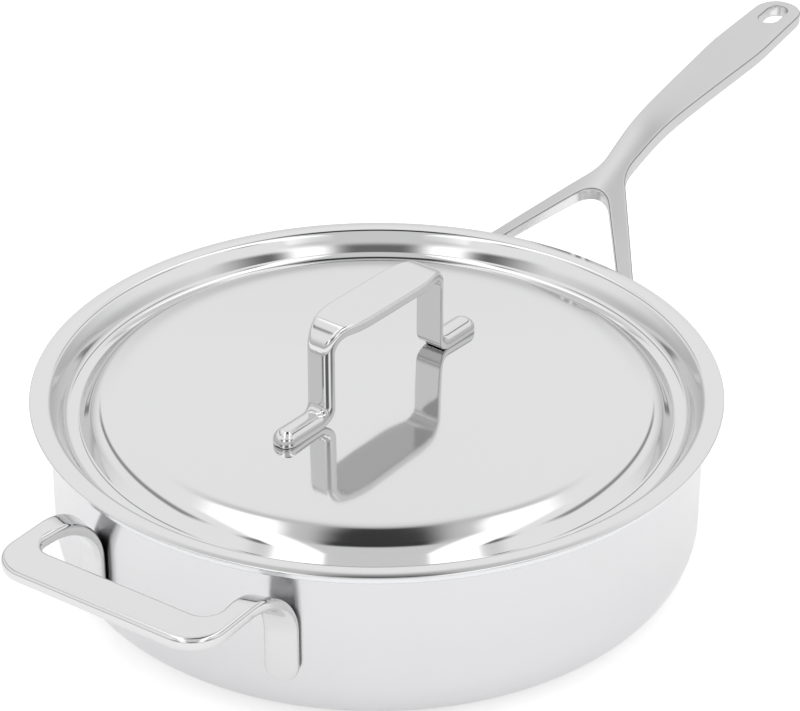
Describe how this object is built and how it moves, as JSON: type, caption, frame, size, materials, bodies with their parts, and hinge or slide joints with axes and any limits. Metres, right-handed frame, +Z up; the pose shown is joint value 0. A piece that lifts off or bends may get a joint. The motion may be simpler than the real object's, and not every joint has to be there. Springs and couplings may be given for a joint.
{
  "type": "saute pan with lid",
  "caption": "Stainless steel saute pan with straight walls, a forked long handle, a helper loop handle and a flat lid with a bridge handle.",
  "frame": {"origin": "centre of the flat underside that the pan stands on", "axes": "+X out along the long handle, +Y to its left seen from above, +Z up through the lid"},
  "size_m": [0.567, 0.3026, 0.1309],
  "materials": {
    "cooking_steel": "brushed in circles",
    "core_aluminium": "bare rolled",
    "wall_steel": "brushed around the wall",
    "handle_steel": "satin, forged",
    "lid_steel": "polished",
    "lid_handle_steel": "mirror polished",
    "weld_steel": "as welded"
  },
  "bodies": {
    "pan": {"cooking_surface": "cooking_steel", "aluminium_core": "core_aluminium", "outer_shell": "wall_steel", "long_handle": "handle_steel", "long_handle_welds": "weld_steel", "helper_handle": "handle_steel", "helper_handle_welds": "weld_steel"},
    "lid": {"lid_shell": "lid_steel", "lid_handle": "lid_handle_steel", "lid_handle_welds": "weld_steel"}
  },
  "joints": [
    {"name": "lid_lift", "type": "slide", "parent": "pan", "child": "lid", "axis": [0, 0, 1], "range_m": [0, 0.12]}
  ]
}
